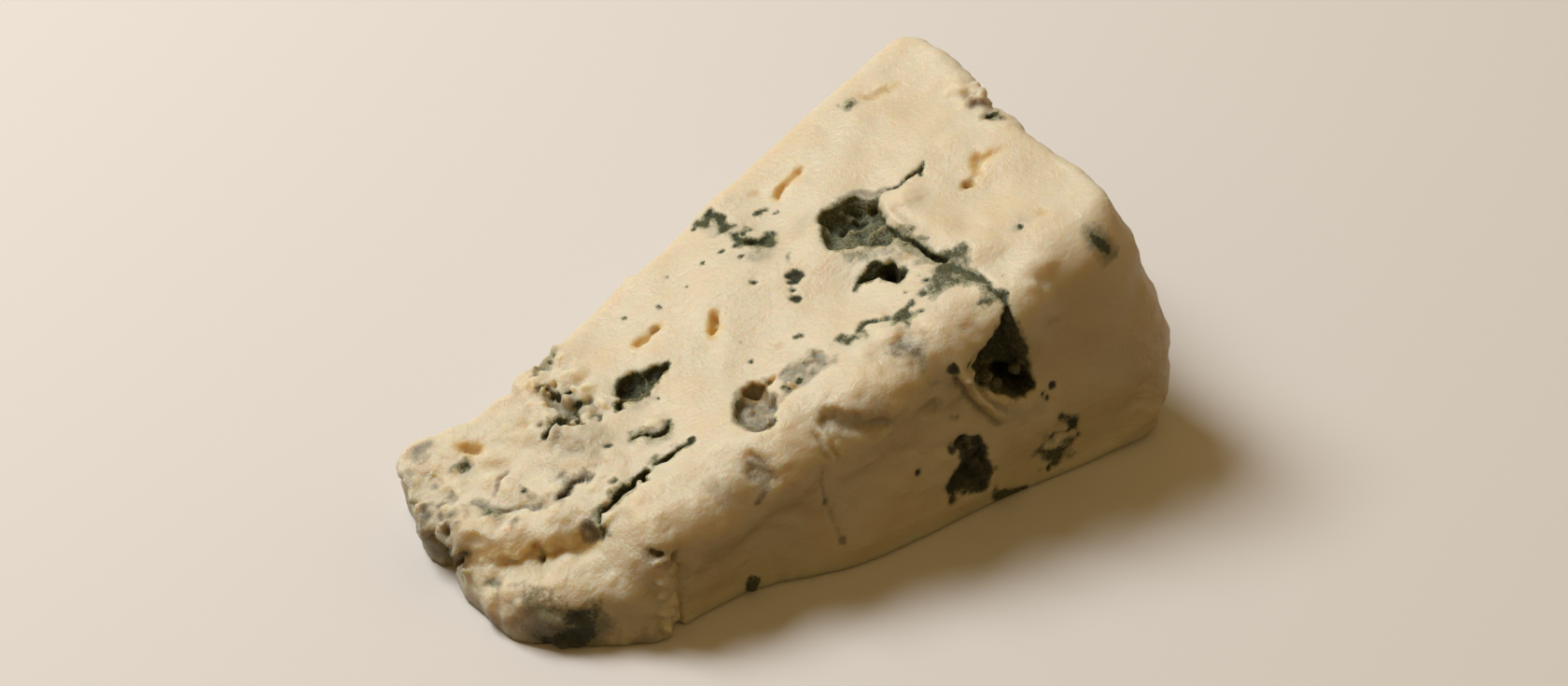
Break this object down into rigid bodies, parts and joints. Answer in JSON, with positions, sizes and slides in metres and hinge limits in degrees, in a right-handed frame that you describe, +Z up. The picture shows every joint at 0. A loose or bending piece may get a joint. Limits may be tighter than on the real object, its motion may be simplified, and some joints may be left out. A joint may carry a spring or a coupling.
{
  "type": "blue cheese wedge",
  "caption": "Wedge of blue-veined cheese lying on a cut face, with mould pockets, cracks and a broken tip, for food and table scenes.",
  "frame": {"origin": "middle of the box of the wedge, on the surface that it lies on", "axes": "+X from the broken tip to the rind, +Y across the wedge away from its torn side, +Z up"},
  "size_m": [0.0864, 0.05, 0.0325],
  "materials": {
    "blue_veined_paste": "moist pale paste with blue-green mould in its pockets and veins"
  },
  "bodies": {
    "root": {"cheese_wedge": "blue_veined_paste"}
  },
  "joints": []
}
